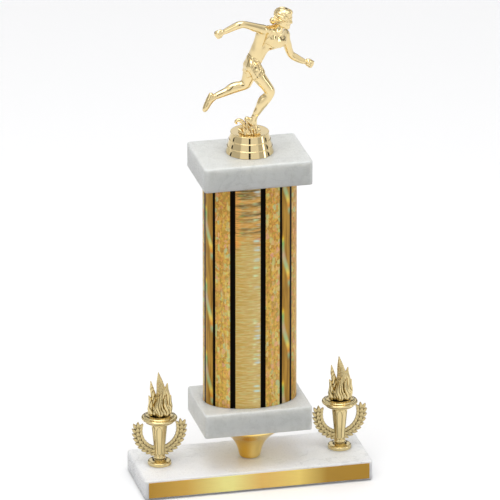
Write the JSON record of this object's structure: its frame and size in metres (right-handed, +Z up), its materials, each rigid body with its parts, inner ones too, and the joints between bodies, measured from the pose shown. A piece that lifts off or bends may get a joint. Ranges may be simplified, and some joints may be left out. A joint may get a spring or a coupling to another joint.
{
  "type": "column trophy",
  "caption": "Award trophy: a foil-wrapped oval column between marble slabs on a flared riser and long marble base, with a gold runner figure and a torch with a wreath at each end.",
  "frame": {"origin": "the middle of the trophy's footprint, on the surface that it stands on", "axes": "+Z up along the column, +X to the right along the long base, -Y towards the front with the name plate"},
  "size_m": [0.2084, 0.0748, 0.4358],
  "materials": {
    "white_marble": "polished white marble with faint grey veins",
    "felt": "pressed felt",
    "brushed_gold_plate": "brushed gold anodised",
    "adhesive_tape": "double-sided tape",
    "satin_gold_metal": "satin gold",
    "fibre_tube": "wound paper tube",
    "prism_foil": "gold holographic film with black pinstripes",
    "hardboard": "pressed hardboard",
    "metallised_gold_plastic": "vacuum-metallised mirror gold",
    "antique_gold_plastic": "vacuum-metallised gold with dark crevices",
    "zinc_hardware": "zinc plated"
  },
  "bodies": {
    "root": {"base_slab": "white_marble", "base_pads": "felt", "name_plate": "brushed_gold_plate", "plate_tape": "adhesive_tape", "riser": "satin_gold_metal", "lower_slab": "white_marble", "column_tube": "fibre_tube", "column_foil": "prism_foil", "column_bottom_plug": "hardboard", "column_top_plug": "hardboard", "upper_slab": "white_marble"},
    "figure_spindle": {"runner": "metallised_gold_plastic", "figure_base": "metallised_gold_plastic", "figure_nut": "zinc_hardware", "main_rod": "zinc_hardware", "main_washer": "zinc_hardware", "main_nut": "zinc_hardware"},
    "left_torch": {"left_torch_body": "antique_gold_plastic", "left_torch_wreath": "antique_gold_plastic", "left_torch_flame": "antique_gold_plastic", "left_torch_nut": "zinc_hardware", "left_torch_bolt": "zinc_hardware", "left_torch_washer": "zinc_hardware"},
    "right_torch": {"right_torch_body": "antique_gold_plastic", "right_torch_wreath": "antique_gold_plastic", "right_torch_flame": "antique_gold_plastic", "right_torch_nut": "zinc_hardware", "right_torch_bolt": "zinc_hardware", "right_torch_washer": "zinc_hardware"}
  },
  "joints": [
    {"name": "figure_turn", "type": "hinge", "parent": "root", "child": "figure_spindle", "pos_m": [0, 0, 0.3], "axis": [0, 0, 1], "continuous": true},
    {"name": "left_torch_turn", "type": "hinge", "parent": "root", "child": "left_torch", "pos_m": [-0.0812, 0, 0.02], "axis": [0, 0, 1], "continuous": true},
    {"name": "right_torch_turn", "type": "hinge", "parent": "root", "child": "right_torch", "pos_m": [0.0812, 0, 0.02], "axis": [0, 0, 1], "continuous": true}
  ]
}
